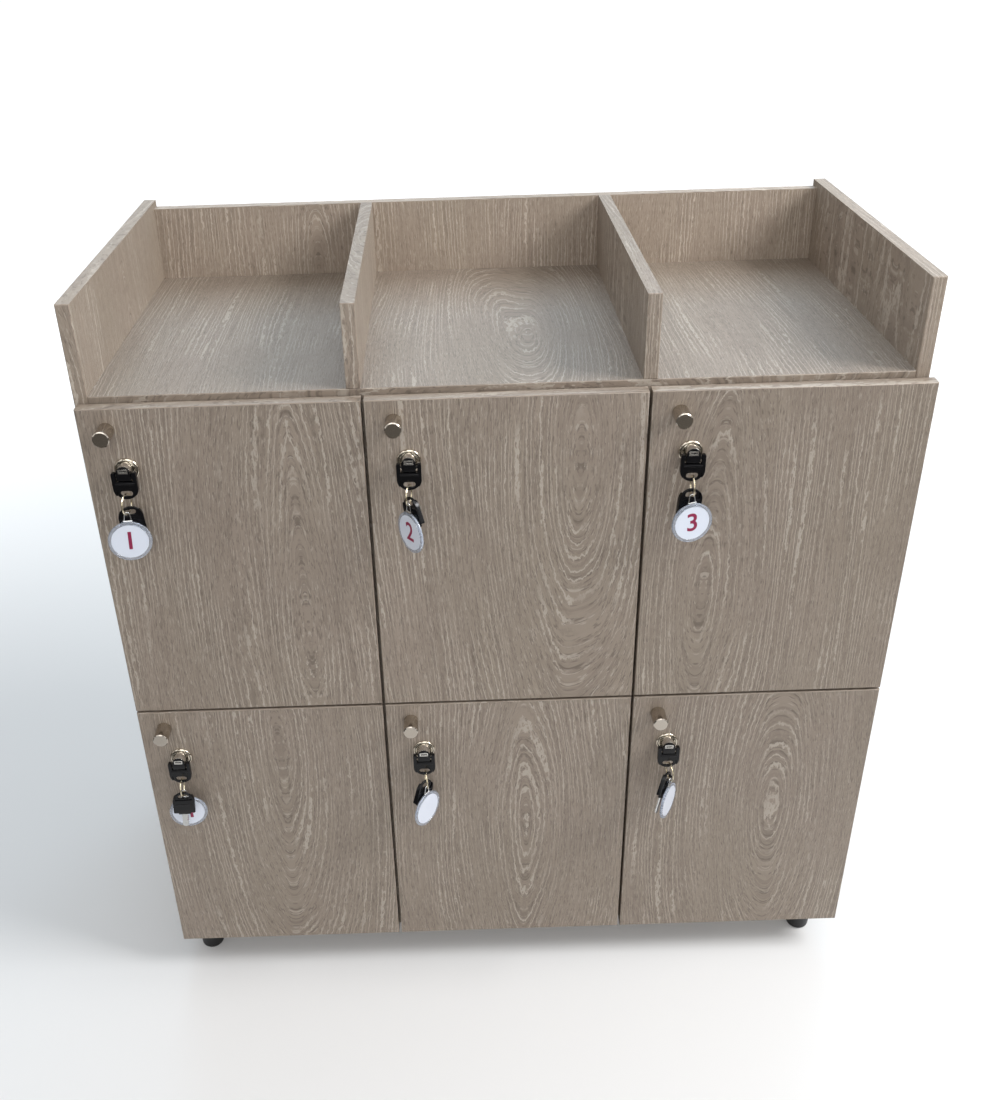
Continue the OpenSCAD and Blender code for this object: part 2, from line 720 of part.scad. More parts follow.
module key_bunch_6() key_bunch(5);
module hinge_cups_6() hinge_cups(5);
module hinge_links_6() hinge_links(5);

side_panels();
partitions();
top_panel();
bottom_panel();
shelves();
back_panel();
tray_dividers();
feet();
hinge_arms();
lock_strikes();
door_bumpers();
case_screws();
door_panel_1();
door_knob_1();
cam_lock_1();
lock_plug_1();
key_bow_1();
key_bunch_1();
hinge_cups_1();
hinge_links_1();
door_panel_2();
door_knob_2();
cam_lock_2();
lock_plug_2();
key_bow_2();
key_bunch_2();
hinge_cups_2();
hinge_links_2();
door_panel_3();
door_knob_3();
cam_lock_3();
lock_plug_3();
key_bow_3();
key_bunch_3();
hinge_cups_3();
hinge_links_3();
door_panel_4();
door_knob_4();
cam_lock_4();
lock_plug_4();
key_bow_4();
key_bunch_4();
hinge_cups_4();
hinge_links_4();
door_panel_5();
door_knob_5();
cam_lock_5();
lock_plug_5();
key_bow_5();
key_bunch_5();
hinge_cups_5();
hinge_links_5();
door_panel_6();
door_knob_6();
cam_lock_6();
lock_plug_6();
key_bow_6();
key_bunch_6();
hinge_cups_6();
hinge_links_6();
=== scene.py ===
from math import acos, atan2, cos, degrees, pi, radians, sin

import bmesh
import bpy
from mathutils import Matrix, Vector


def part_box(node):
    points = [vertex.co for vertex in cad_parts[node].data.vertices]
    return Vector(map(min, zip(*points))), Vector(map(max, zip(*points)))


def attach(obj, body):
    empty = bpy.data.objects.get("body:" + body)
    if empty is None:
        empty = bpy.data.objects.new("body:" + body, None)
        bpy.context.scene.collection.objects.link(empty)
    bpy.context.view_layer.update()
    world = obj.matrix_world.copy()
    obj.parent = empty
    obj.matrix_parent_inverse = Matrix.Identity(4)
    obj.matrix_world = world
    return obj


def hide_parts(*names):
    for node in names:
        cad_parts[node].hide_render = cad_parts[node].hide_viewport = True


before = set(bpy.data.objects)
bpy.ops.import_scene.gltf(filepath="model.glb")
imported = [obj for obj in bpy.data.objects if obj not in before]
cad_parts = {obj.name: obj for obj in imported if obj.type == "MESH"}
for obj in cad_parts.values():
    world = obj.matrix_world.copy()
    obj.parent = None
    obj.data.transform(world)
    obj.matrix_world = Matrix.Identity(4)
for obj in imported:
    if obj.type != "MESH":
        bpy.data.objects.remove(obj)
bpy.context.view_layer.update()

# The camera stands in front of the cabinet, a little left of its middle and above it,
# and looks down at the doors and into the tray.
PHOTO_W = 1000
PHOTO_H = 1100
LENS_PX = 1175.0
AXIS_X_PX = 456.4
AXIS_Y_PX = 568.9
DOOR_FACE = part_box("door_panel_1")[0][1]
CAMERA_PLACE = (-0.0577, DOOR_FACE - 1.1391, 1.3174)
LOOK_DOWN = 30.84
LOOK_ASIDE = 0.08
CAMERA_ROLL = -1.8

camera_data = bpy.data.cameras.new("camera")
camera_data.sensor_fit = "VERTICAL"
camera_data.sensor_height = 24.0
camera_data.lens = LENS_PX / PHOTO_H * camera_data.sensor_height
camera_data.shift_x = (PHOTO_W / 2 - AXIS_X_PX) / PHOTO_H
camera_data.shift_y = (AXIS_Y_PX - PHOTO_H / 2) / PHOTO_H
camera_data.clip_end = 100.0
camera = bpy.data.objects.new("camera", camera_data)
camera.matrix_world = (
    Matrix.Translation(CAMERA_PLACE)
    @ Matrix.Rotation(radians(-LOOK_ASIDE), 4, "Z")
    @ Matrix.Rotation(radians(90 - LOOK_DOWN), 4, "X")
    @ Matrix.Rotation(radians(CAMERA_ROLL), 4, "Z")
)
bpy.context.scene.collection.objects.link(camera)
bpy.context.scene.camera = camera


# The studio: a wide pale floor that keeps a soft shadow, white light all round, a large
# soft lamp overhead to the right of the cabinet and a weaker one in front of it. Metal
# mirrors a plain room with bright and dark walls round the pale floor.
bpy.context.scene.view_settings.view_transform = "Standard"


def new_material(name):
    """A material with node, link and setting helpers bound to it."""
    material = bpy.data.materials.new(name)
    material.use_nodes = True
    tree = material.node_tree
    tree.nodes.clear()

    def node(kind, **values):
        made = tree.nodes.new("ShaderNode" + kind)
        for key, value in values.items():
            if key in made.inputs and not hasattr(made, key):
                made.inputs[key].default_value = value
            else:
                setattr(made, key, value)
        return made

    def link(a, b):
        tree.links.new(a, b)

    return material, node, link


def studio_white(name, tint, near, far):
    """Diffuse floor that far from the part turns to plain white for camera rays and to a
    dark room for reflections."""
    material, node, link = new_material(name)
    out = node("OutputMaterial")
    add = node("AddShader")
    diffuse = node("BsdfDiffuse")
    room = node("MixRGB")
    room.inputs[1].default_value = (tint, tint, tint, 1)
    room.inputs[2].default_value = ROOM_FLOOR
    beyond = node("MapRange", interpolation_type="SMOOTHSTEP")
    beyond.inputs["From Min"].default_value, beyond.inputs["From Max"].default_value = PALE_SPAN
    mirrored = node("Math", operation="MULTIPLY")
    glow = node("Emission")
    rays = node("LightPath")
    seen = node("Math", operation="MAXIMUM")
    level = node("Math", operation="MULTIPLY")
    coords = node("TexCoord")
    away = node("VectorMath", operation="LENGTH")
    fade = node("MapRange", interpolation_type="SMOOTHSTEP")
    fade.inputs["From Min"].default_value, fade.inputs["From Max"].default_value = GLOW_SPAN
    fade.inputs["To Min"].default_value = near
    fade.inputs["To Max"].default_value = far
    link(coords.outputs["Object"], away.inputs[0])
    link(away.outputs["Value"], fade.inputs["Value"])
    link(away.outputs["Value"], beyond.inputs["Value"])
    link(beyond.outputs[0], mirrored.inputs[0])
    link(rays.outputs["Is Glossy Ray"], mirrored.inputs[1])
    link(mirrored.outputs[0], room.inputs["Fac"])
    link(room.outputs[0], diffuse.inputs["Color"])
    link(fade.outputs[0], level.inputs[1])
    link(rays.outputs["Is Camera Ray"], seen.inputs[0])
    link(rays.outputs["Is Transmission Ray"], seen.inputs[1])
    link(seen.outputs[0], level.inputs[0])
    link(level.outputs[0], glow.inputs["Strength"])
    link(diffuse.outputs[0], add.inputs[0])
    link(glow.outputs[0], add.inputs[1])
    link(add.outputs[0], out.inputs["Surface"])
    return material


def stage_plane(name, size, material):
    """A flat square of the studio, level with the ground."""
    mesh = bpy.data.meshes.new(name)
    bm = bmesh.new()
    bmesh.ops.create_grid(bm, x_segments=1, y_segments=1, size=size / 2)
    bm.to_mesh(mesh)
    bm.free()
    mesh.materials.append(material)
    plane = bpy.data.objects.new(name, mesh)
    bpy.context.scene.collection.objects.link(plane)
    return plane


FLOOR_SIZE = 60.0
FLOOR_TINT = 0.75
FLOOR_NEAR = 0.06
FLOOR_FAR = 0.60
GLOW_SPAN = (0.9, 3.0)
PALE_SPAN = (0.85, 1.25)
ROOM_FLOOR = (0.13, 0.12, 0.11, 1)
floor_white = studio_white("floor_white", FLOOR_TINT, FLOOR_NEAR, FLOOR_FAR)
stage_plane("floor", FLOOR_SIZE, floor_white)

WORLD_TOP = 0.64
WORLD_SIDE = 0.44
ROOM_DARK = 0.08
ROOM_BRIGHT = 1.05
CEILING = 1.8
world = bpy.data.worlds.new("studio")
world.use_nodes = True


def room_node(kind, operation=None, **values):
    """A node of the world, with its sockets set by their names."""
    made = world.node_tree.nodes.new("ShaderNode" + kind)
    if operation:
        made.operation = operation
    for socket, value in values.items():
        made.inputs[socket.replace("_", " ")].default_value = value
    return made


white = world.node_tree.nodes["Background"]
white.inputs["Color"].default_value = (1, 1, 1, 1)
direction = room_node("TexCoord")
height = room_node("SeparateXYZ")
fade = room_node("MapRange", From_Min=0.1, From_Max=0.9, To_Min=WORLD_SIDE, To_Max=WORLD_TOP)
walls = room_node("TexNoise", Scale=2.6, Detail=0.0)
windows = room_node("MapRange", From_Min=0.44, From_Max=0.56, To_Min=ROOM_DARK, To_Max=ROOM_BRIGHT)
ceiling = room_node("MapRange", From_Min=0.62, From_Max=0.80, To_Max=CEILING)
room = room_node("Math", "ADD")
rays = room_node("LightPath")
seen = room_node("Mix")
backdrop = room_node("Math", "MAXIMUM")
for source, target in (
    (direction.outputs["Generated"], height.inputs[0]),
    (direction.outputs["Generated"], walls.inputs["Vector"]),
    (height.outputs["Z"], fade.inputs["Value"]),
    (height.outputs["Z"], ceiling.inputs["Value"]),
    (walls.outputs["Fac"], windows.inputs["Value"]),
    (windows.outputs[0], room.inputs[0]),
    (ceiling.outputs[0], room.inputs[1]),
    (rays.outputs["Is Glossy Ray"], seen.inputs["Factor"]),
    (fade.outputs[0], seen.inputs["A"]),
    (room.outputs[0], seen.inputs["B"]),
    (seen.outputs["Result"], backdrop.inputs[0]),
    (rays.outputs["Is Camera Ray"], backdrop.inputs[1]),
    (backdrop.outputs[0], white.inputs["Strength"]),
):
    world.node_tree.links.new(source, target)
bpy.context.scene.world = world


def soft_lamp(name, place, target, size, power, colour=(1, 1, 1)):
    """A wide lamp at a place, turned to a target."""
    lamp_data = bpy.data.lights.new(name, "AREA")
    lamp_data.shape = "RECTANGLE"
    lamp_data.size, lamp_data.size_y = size
    lamp_data.energy = power
    lamp_data.color = colour
    lamp = bpy.data.objects.new(name, lamp_data)
    lamp.location = place
    aim = Vector(target) - Vector(place)
    lamp.rotation_euler = aim.to_track_quat("-Z", "Y").to_euler()
    bpy.context.scene.collection.objects.link(lamp)


soft_lamp("lamp_right", (2.3, -0.7, 2.5), (0, 0, 0.4), (1.3, 1.3), 88)
soft_lamp("lamp_front", (-0.4, -3.4, 2.0), (0, 0, 0.5), (2.6, 1.8), 24)
soft_lamp("lamp_above", (0.3, 2.6, 3.4), (0, 0.1, 0.85), (3.5, 2.5), 62, (0.60, 0.82, 1))


# Cabinet boards: chipboard faced with a matt printed oak paper, the edges banded to match and
# printed a little lighter as painted sheen. The print runs up the upright boards and back to front
# on the tray floor.
OAK_MID = (0.316, 0.256, 0.206, 1)
OAK_PALE = (0.450, 0.392, 0.330, 1)
OAK_WARM = (0.306, 0.256, 0.198, 1)
OAK_DEEP = (0.185, 0.146, 0.115, 1)
OAK_LINE = (0.120, 0.092, 0.072, 1)
RING_WAVES = 1300.0
RING_WARP = 0.055
RING_JAG = 6.0
RING_DRIFT = 26.0
PITH_DEPTH = 0.02
STRIP_SHIFT = 0.05
# lightness added on banded edges: painted sheen
EDGE_SHEEN_LIFT = 0.06
TO_GRAIN = {"X": (0, pi / 2, 0), "Y": (pi / 2, 0, 0), "Z": (0, 0, 0)}


def oak(name, grain, figure, slant=0.2, edges=(), tone_and_shade_lift=1.0, seed=0.0):
    """Printed oak. grain is the axis it runs along, figure the middle of its loops in
    the part's frame, edges a list of (axis, limit, beyond, grain) for banded edges."""
    material, node, link = new_material(name)
    out = node("OutputMaterial")
    shell = node("BsdfPrincipled")
    shell.inputs["Roughness"].default_value = 0.46
    shell.inputs["Specular IOR Level"].default_value = 0.5
    link(shell.outputs[0], out.inputs["Surface"])
    coords = node("TexCoord")

    def math(operation, first, second):
        made = node("Math", operation=operation)
        for socket, value in zip(made.inputs, (first, second)):
            if isinstance(value, (int, float)):
                socket.default_value = value
            else:
                link(value, socket)
        return made.outputs[0]

    def mapped(vector, scale=(1, 1, 1), spin=(0, 0, 0), shift=(0, 0, 0)):
        made = node("Mapping")
        made.inputs["Scale"].default_value = scale
        made.inputs["Rotation"].default_value = spin
        made.inputs["Location"].default_value = shift
        link(vector, made.inputs["Vector"])
        return made.outputs[0]

    def noise(vector, scale, detail, roughness=0.55, output="Fac"):
        made = node("TexNoise")
        made.inputs["Scale"].default_value = scale
        made.inputs["Detail"].default_value = detail
        made.inputs["Roughness"].default_value = roughness
        link(vector, made.inputs["Vector"])
        return made.outputs[output]

    def ramp(value, low, high):
        made = node("MapRange", interpolation_type="SMOOTHSTEP")
        made.inputs["From Min"].default_value = low
        made.inputs["From Max"].default_value = high
        link(value, made.inputs["Value"])
        return made.outputs[0]

    def tinted(factor, under, over, weight):
        made = node("MixRGB")
        link(math("MULTIPLY", factor, weight), made.inputs["Fac"])
        for socket, value in zip(made.inputs[1:], (under, over)):
            if isinstance(value, tuple):
                socket.default_value = value
            else:
                link(value, socket)
        return made.outputs["Color"]

    def laid(vector, direction):
        shift = (-figure[0], -figure[1], -figure[2])
        return mapped(mapped(vector, shift=shift), spin=TO_GRAIN[direction])

    # place on the sheet, with the grain along Z, and on banded edges along the edge
    place = laid(coords.outputs["Object"], grain)
    parts = node("SeparateXYZ")
    link(coords.outputs["Object"], parts.inputs[0])
    sheen_edges = None
    for axis, limit, beyond, direction in edges:
        compare = "GREATER_THAN" if beyond else "LESS_THAN"
        on_edge = math(compare, parts.outputs[axis], limit)
        swap = node("MixRGB")
        link(on_edge, swap.inputs["Fac"])
        link(place, swap.inputs[1])
        strip = laid(coords.outputs["Object"], direction)
        if direction == grain:
            flat = [1, 1, 1]
            flat[axis] = 0
            strip = mapped(strip, flat, shift=(STRIP_SHIFT, STRIP_SHIFT, 0))
        link(strip, swap.inputs[2])
        place = swap.outputs[0]
        sheen_edges = on_edge if sheen_edges is None else math("MAXIMUM", sheen_edges, on_edge)

    # growth rings: long flames round the middle of the figure, warped by slow noise
    elsewhere = (seed, seed * 0.7, seed * 1.3)
    warp = noise(mapped(place, (7, 7, 1.3), shift=elsewhere), 1.0, 2, 0.5, "Color")
    pull = node("VectorMath", operation="MULTIPLY_ADD")
    link(warp, pull.inputs[0])
    pull.inputs[1].default_value = (RING_WARP, RING_WARP, RING_WARP)
    half = RING_WARP / 2
    link(mapped(place, (1, 1, slant), shift=(-half, PITH_DEPTH - half, -half)), pull.inputs[2])
    length = node("VectorMath", operation="LENGTH")
    link(pull.outputs[0], length.inputs[0])
    ring = length.outputs["Value"]
    here = node("SeparateXYZ")
    link(place, here.inputs[0])
    sheet = node("CombineXYZ")
    link(ring, sheet.inputs[0])
    link(here.outputs[2], sheet.inputs[2])
    sheet.inputs[1].default_value = seed

    def along(across, lengthwise):
        return mapped(sheet.outputs[0], (across, 1, lengthwise))

    # fine jags on the rings, then thin pale and dark lines where the figure is strong
    jag = noise(mapped(place, (200, 200, 70), shift=(seed, 1, 2)), 1.0, 3, 0.65)
    drift = noise(along(70, 1.5), 1.0, 2)
    phase = math("ADD", math("MULTIPLY", ring, RING_WAVES), math("MULTIPLY", jag, RING_JAG))
    waves = math("SINE", math("ADD", phase, math("MULTIPLY", drift, RING_DRIFT)), 0.0)
    clouds = ramp(noise(mapped(place, (9, 9, 3)), 1.0, 3), 0.35, 0.68)
    patches = ramp(noise(mapped(place, (13, 13, 5), shift=(seed, 3, 5)), 1.0, 2), 0.40, 0.58)
    pale_lines = math("MULTIPLY", ramp(waves, 0.74, 0.99), patches)
    dark_lines = math("MULTIPLY", ramp(math("MULTIPLY", waves, -1.0), 0.60, 0.98), patches)
    bands = ramp(noise(along(95, 3), 1.0, 3, 0.6), 0.36, 0.66)
    streaks = ramp(noise(along(560, 16), 1.0, 5, 0.68), 0.46, 0.64)
    pores = ramp(noise(along(1200, 95), 1.0, 2, 0.6), 0.54, 0.66)
    flecks = ramp(noise(along(1000, 80), 1.0, 3, 0.65), 0.56, 0.68)

    colour = OAK_MID
    for layer, shade, weight in (
        (clouds, OAK_WARM, 0.5),
        (bands, OAK_DEEP, 0.20),
        (dark_lines, OAK_DEEP, 0.32),
        (streaks, OAK_DEEP, 0.46),
        (pores, OAK_LINE, 0.58),
        (flecks, OAK_PALE, 0.66),
        (pale_lines, OAK_PALE, 0.95),
    ):
        colour = tinted(layer, colour, shade, weight)
    # lightness scale: the print's tone, and painted light on the boards in shade
    level = node("HueSaturation")
    level.inputs["Value"].default_value = tone_and_shade_lift
    # the banded edges are printed lighter here as painted sheen
    if sheen_edges is not None:
        link(math("ADD", math("MULTIPLY", sheen_edges, EDGE_SHEEN_LIFT), tone_and_shade_lift), level.inputs["Value"])
    link(colour, level.inputs["Color"])
    link(level.outputs[0], shell.inputs["Base Color"])

    press = node("Bump")
    press.inputs["Strength"].default_value = 0.25
    press.inputs["Distance"].default_value = 0.0004
    link(math("SUBTRACT", flecks, streaks), press.inputs["Height"])
    link(press.outputs[0], shell.inputs["Normal"])
    return material


def dress(node_name, *materials):
    """Gives a CAD node its finish."""
    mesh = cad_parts[node_name].data
    mesh.materials.clear()
    for material in materials:
        mesh.materials.append(material)


EDGE = 0.0010
UPRIGHT = (("Y", 0, False, "Z"), ("Y", 1, True, "Z"), ("Z", 1, True, "Y"))
# The tone column scales each print's lightness. For the back board (1.26) and the side panels
# (1.04) it is painted light, lifting boards that sit in shade inside the case; the back board's
# lift is partly its own lighter tone as well.
BOARD_PRINTS = (
    ("side_panels", "Z", (-0.44, 0.06, 0.62), 0.14, 1.04, UPRIGHT),
    ("partitions", "Z", (-0.15, 0.05, 0.40), 0.2, 1.0, UPRIGHT[:2]),
    ("top_panel", "Y", (0.02, -0.02, 0.85), 0.24, 0.90, (("Y", 0, False, "X"),)),
    ("bottom_panel", "X", (0.0, 0.0, 0.06), 0.2, 1.0, ()),
    ("shelves", "X", (0.1, 0.05, 0.45), 0.2, 1.0, ()),
    ("back_panel", "Z", (-0.23, 0.23, 0.88), 0.16, 1.26, (("Z", 1, True, "X"),)),
    ("tray_dividers", "Z", (-0.15, 0.02, 0.90), 0.2, 0.96, UPRIGHT),
)
for board, grain, figure, slant, tone_and_shade_lift, banding in BOARD_PRINTS:
    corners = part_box(board)
    edges = []
    for axis, corner, beyond, direction in banding:
        limit = corners[corner]["XYZ".index(axis)] + (-EDGE if beyond else EDGE)
        edges.append(("XYZ".index(axis), limit, beyond, direction))
    dress(board, oak("oak_" + board, grain, figure, slant, edges, tone_and_shade_lift, figure[0] * 9))


# Doors: the same faced board as the cabinet, each cut from another place of the sheet,
# with the grain upright. They carry the knob, the lock and the hinge cups.
DOORS = range(1, 7)
FIGURE_OUT = 0.006
FIGURES = (
    (0.215, 0.095, 0.17, 0.92),
    (0.225, 0.335, 0.21, 0.94),
    (0.080, 0.150, 0.15, 0.90),
    (0.165, 0.330, 0.20, 0.89),
    (0.170, 0.215, 0.18, 0.89),
    (0.185, 0.205, 0.24, 0.87),
)
for door, (right, up, slant, tone_and_shade_lift) in zip(DOORS, FIGURES):
    low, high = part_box("door_panel_%d" % door)
    figure = (low[0] + right, low[1] - FIGURE_OUT, low[2] + up)
    # the side and top edges of each door get the painted sheen lift too
    edges = [(0, low[0] + EDGE, False, "Z"), (0, high[0] - EDGE, True, "Z")]
    edges.append((2, high[2] - EDGE, True, "X"))
    print_name = "oak_door_%d" % door
    dress("door_panel_%d" % door, oak(print_name, "Z", figure, slant, edges, tone_and_shade_lift, door * 1.7))


# Feet and stop pads: the feet are turned shapes of black plastic screwed under the
# corners, the pads are pale rubber discs stuck on the case where the doors land.
def moulded(name, colour, roughness, grain=900.0, depth=0.00004, coat=0.0, shine=0.5):
    """Moulded plastic or rubber with a faint mould grain."""
    material, node, link = new_material(name)
    out = node("OutputMaterial")
    shell = node("BsdfPrincipled")
    shell.inputs["Base Color"].default_value = colour
    shell.inputs["Roughness"].default_value = roughness
    shell.inputs["Specular IOR Level"].default_value = shine
    shell.inputs["Coat Weight"].default_value = coat
    shell.inputs["Coat Roughness"].default_value = 0.08
    coords = node("TexCoord")
    speck = node("TexNoise")
    speck.inputs["Scale"].default_value = grain
    speck.inputs["Detail"].default_value = 3
    bump = node("Bump")
    bump.inputs["Strength"].default_value = 0.35
    bump.inputs["Distance"].default_value = depth
    link(coords.outputs["Object"], speck.inputs["Vector"])
    link(speck.outputs["Fac"], bump.inputs["Height"])
    link(bump.outputs[0], shell.inputs["Normal"])
    link(shell.outputs[0], out.inputs["Surface"])
    return material


dress("feet", moulded("foot_plastic", (0.012, 0.012, 0.013, 1), 0.42))
dress("door_bumpers", moulded("pad_rubber", (0.75, 0.75, 0.72, 1), 0.5))


# Metal fittings: turned knobs, pressed hinges and strike angles and the screws of the
# case, plated with satin or bright nickel and screwed to the boards.
def plated(name, colour, roughness, grain_scale, spread=0.08):
    """Plated metal, its roughness broken up by fine brushing."""
    material, node, link = new_material(name)
    out = node("OutputMaterial")
    shell = node("BsdfPrincipled")
    shell.inputs["Base Color"].default_value = colour
    shell.inputs["Metallic"].default_value = 1.0
    coords = node("TexCoord")
    stretch = node("Mapping")
    stretch.inputs["Scale"].default_value = grain_scale
    brush = node("TexNoise")
    brush.inputs["Scale"].default_value = 1.0
    brush.inputs["Detail"].default_value = 4
    spread_map = node("MapRange")
    spread_map.inputs["To Min"].default_value = roughness - spread
    spread_map.inputs["To Max"].default_value = roughness + spread
    bump = node("Bump")
    bump.inputs["Strength"].default_value = 0.2
    bump.inputs["Distance"].default_value = 0.00003
    link(coords.outputs["Object"], stretch.inputs["Vector"])
    link(stretch.outputs[0], brush.inputs["Vector"])
    link(brush.outputs["Fac"], spread_map.inputs["Value"])
    link(spread_map.outputs[0], shell.inputs["Roughness"])
    link(brush.outputs["Fac"], bump.inputs["Height"])
    link(bump.outputs[0], shell.inputs["Normal"])
    link(shell.outputs[0], out.inputs["Surface"])
    return material


satin_nickel = plated("satin_nickel", (0.50, 0.45, 0.39, 1), 0.17, (2600, 240, 2600))
bright_nickel = plated("bright_nickel", (0.50, 0.47, 0.42, 1), 0.16, (900, 900, 900), 0.05)
rosette_nickel = plated("rosette_nickel", (0.60, 0.54, 0.45, 1), 0.07, (900, 900, 900), 0.04)
insert_nickel = plated("insert_nickel", (0.72, 0.70, 0.66, 1), 0.2, (900, 900, 900), 0.05)
eyelet_steel = plated("eyelet_steel", (0.60, 0.61, 0.62, 1), 0.2, (900, 900, 900), 0.05)
hinge_steel = plated("hinge_steel", (0.56, 0.56, 0.55, 1), 0.24, (400, 900, 900))
for fitting in ("hinge_arms", "lock_strikes", "case_screws"):
    dress(fitting, hinge_steel)
for door in DOORS:
    dress("door_knob_%d" % door, satin_nickel)
    dress("hinge_cups_%d" % door, hinge_steel)
    dress("hinge_links_%d" % door, hinge_steel)


# Folding key bows: each is a flat moulding of glossy black plastic with two horns for
# its pin, a raised grip bar and a thinner lower end with the slot for the ring.
BOW_W = 0.0265
BOW_LEN = 0.0275
BOW_T = 0.005
BOW_OUT = 0.0155
HORN_LEN = 0.0042
NOTCH_W = 0.018
NOTCH_Z = -0.0062
SLOT_W = 0.013
SLOT_H = 0.006
SLOT_T = 0.0022
SLOT_DROP = 0.0205
WEB_TOP = -0.0155
BOW_EASE = 0.0007
PIN_R = 0.00125
PIN_IN = 0.002

bow_plastic = moulded("bow_plastic", (0.003, 0.003, 0.004, 1), 0.2, 1500.0, 0.00002, shine=0.3)


def arc(middle, radius, start, end, steps):
    """Points of an arc in the X, Z plane, angles in degrees."""
    turns = [radians(start + (end - start) * k / steps) for k in range(steps + 1)]
    return [(middle[0] + radius * cos(t), middle[1] + radius * sin(t)) for t in turns]


def closed_loop(bm, points):
    """The corners and edges of an outline in the X, Z plane."""
    corners = [bm.verts.new((x, 0, z)) for x, z in points]
    return corners, [bm.edges.new((corners[k - 1], corners[k])) for k in range(len(corners))]


def plate(bm, outline, holes, thickness, ease, middle=0.0):
    """A flat plate in the X, Z plane, its middle at this Y, its rims bevelled."""
    known = set(bm.faces)
    edges = []
    verts = []
    for loop in [outline] + holes:
        corners, loop_edges = closed_loop(bm, loop)
        verts += corners
        edges += loop_edges
    filled = bmesh.ops.triangle_fill(bm, edges=edges, use_beauty=True, use_dissolve=False)
    faces = [g for g in filled["geom"] if isinstance(g, bmesh.types.BMFace)]
    bmesh.ops.translate(bm, verts=verts, vec=(0, middle - thickness / 2, 0))
    grown = bmesh.ops.extrude_face_region(bm, geom=faces)["geom"]
    rear = [g for g in grown if isinstance(g, bmesh.types.BMVert)]
    bmesh.ops.translate(bm, verts=rear, vec=(0, thickness, 0))
    made = [f for f in bm.faces if f not in known]
    bmesh.ops.recalc_face_normals(bm, faces=made)
    rims = [
        e for e in {e for f in made for e in f.edges}
        if len(e.link_faces) == 2 and abs(abs(e.calc_face_angle(0)) - pi / 2) < 0.2
        and abs(e.verts[0].co.y - e.verts[1].co.y) < thickness / 4
    ]
    bmesh.ops.bevel(
        bm, geom=rims, offset=ease, segments=3, profile=0.5, affect="EDGES", material=-1,
        clamp_overlap=True,
    )


def block(bm, size, middle, ease):
    """A box with eased edges."""
    verts = bmesh.ops.create_cube(bm, size=1)["verts"]
    bmesh.ops.scale(bm, verts=verts, vec=size)
    bmesh.ops.translate(bm, verts=verts, vec=middle)
    edges = list({e for v in verts for e in v.link_edges})
    bmesh.ops.bevel(
        bm, geom=edges, offset=ease, segments=3, profile=0.5, affect="EDGES", material=-1
    )


def rod(bm, axis, radius, start, end, segments, centre=(0, 0)):
    """A cylinder along X, Y or Z between two places on that axis."""
    verts = bmesh.ops.create_cone(
        bm, cap_ends=True, segments=segments, radius1=radius, radius2=radius, depth=end - start
    )["verts"]
    if axis == "Y":
        bmesh.ops.rotate(bm, verts=verts, matrix=Matrix.Rotation(-pi / 2, 3, "X"))
        shift = (centre[0], (start + end) / 2, centre[1])
    elif axis == "X":
        bmesh.ops.rotate(bm, verts=verts, matrix=Matrix.Rotation(pi / 2, 3, "Y"))
        shift = ((start + end) / 2, centre[0], centre[1])
    else:
        shift = (centre[0], centre[1], (start + end) / 2)
    bmesh.ops.translate(bm, verts=verts, vec=shift)


def finished(name, bm, material, body, move=Matrix(), smooth=True):
    """Turns a bmesh into a piece that rides a body, its place kept in the mesh."""
    bm.transform(move)
    mesh = bpy.data.meshes.new(name)
    bm.to_mesh(mesh)
    bm.free()
    mesh.materials.append(material)
    piece = bpy.data.objects.new(name, mesh)
    bpy.context.scene.collection.objects.link(piece)
    if smooth:
        mesh.shade_smooth()
        mesh.set_sharp_from_angle(angle=radians(35))
    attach(piece, body)
    return piece


def oblong(middle_z, width, height):
    """Slot with round ends, as a list of points."""
    reach = (width - height) / 2
    right = arc((reach, middle_z), height / 2, -90, 90, 10)
    left = arc((-reach, middle_z), height / 2, 90, 270, 10)
    return right + left


def bow_shape(bm, notch):
    """Bow hanging from its pin at the origin, with or without the notch for the head."""
    half = BOW_W / 2
    side = half - 0.003
    round_z = half - BOW_LEN
    corner = 0.0016
    top = []
    top += arc((half - corner, HORN_LEN - corner), corner, 0, 90, 5)
    if notch:
        top += [(NOTCH_W / 2, HORN_LEN), (NOTCH_W / 2, NOTCH_Z)]
        top += [(-NOTCH_W / 2, NOTCH_Z), (-NOTCH_W / 2, HORN_LEN)]
    top += arc((-half + corner, HORN_LEN - corner), corner, 90, 180, 5)
    bend = degrees(acos(side / half))
    thick = arc((0, round_z), half, 180, 180 + bend, 8) + [(-side, WEB_TOP), (side, WEB_TOP)]
    thick += arc((0, round_z), half, 360 - bend, 360, 8) + top
    plate(bm, thick, [], BOW_T, BOW_EASE)
    web = arc((0, round_z), half - 0.0002, 185, 355, 30)
    web += [(side, WEB_TOP + 0.002), (-side, WEB_TOP + 0.002)]
    plate(bm, web, [oblong(-SLOT_DROP, SLOT_W, SLOT_H)], SLOT_T, 0.0005)
    bar = (BOW_W - 0.006, 0.0016, 0.0022)
    block(bm, bar, (0, -BOW_T / 2 + 0.0001, NOTCH_Z - 0.0025), 0.0005)


def lock_axis(door):
    """Middle of a lock on the front face of its door."""
    low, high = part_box("cam_lock_%d" % door)
    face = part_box("door_panel_%d" % door)[0][1]
    return Vector(((low[0] + high[0]) / 2, face, (low[2] + high[2]) / 2))


